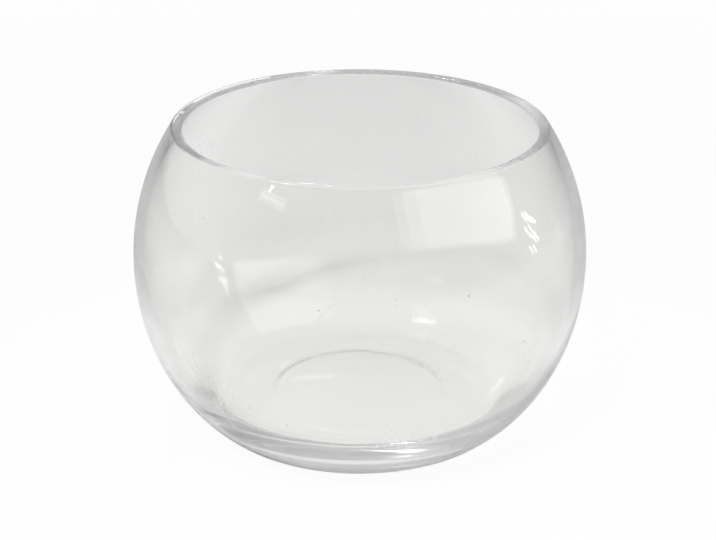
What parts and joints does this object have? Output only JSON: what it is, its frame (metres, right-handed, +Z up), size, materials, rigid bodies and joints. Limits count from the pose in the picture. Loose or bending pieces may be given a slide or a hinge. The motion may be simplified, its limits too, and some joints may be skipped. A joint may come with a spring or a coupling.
{
  "type": "glass bowl vase",
  "caption": "Round bubble bowl vase of clear blown glass with a wide mouth, flat fire-polished lip, full belly, thick floor and a flat standing ring.",
  "frame": {"origin": "middle of the standing ring, on the table plane", "axes": "+Z up along the bowl's axis of revolution; X and Y lie in the table plane and are equal, because the bowl is round"},
  "size_m": [0.14, 0.14, 0.0958],
  "materials": {
    "glass": "clear colourless glass, fire-polished"
  },
  "bodies": {
    "root": {"bowl": "glass"}
  },
  "joints": []
}
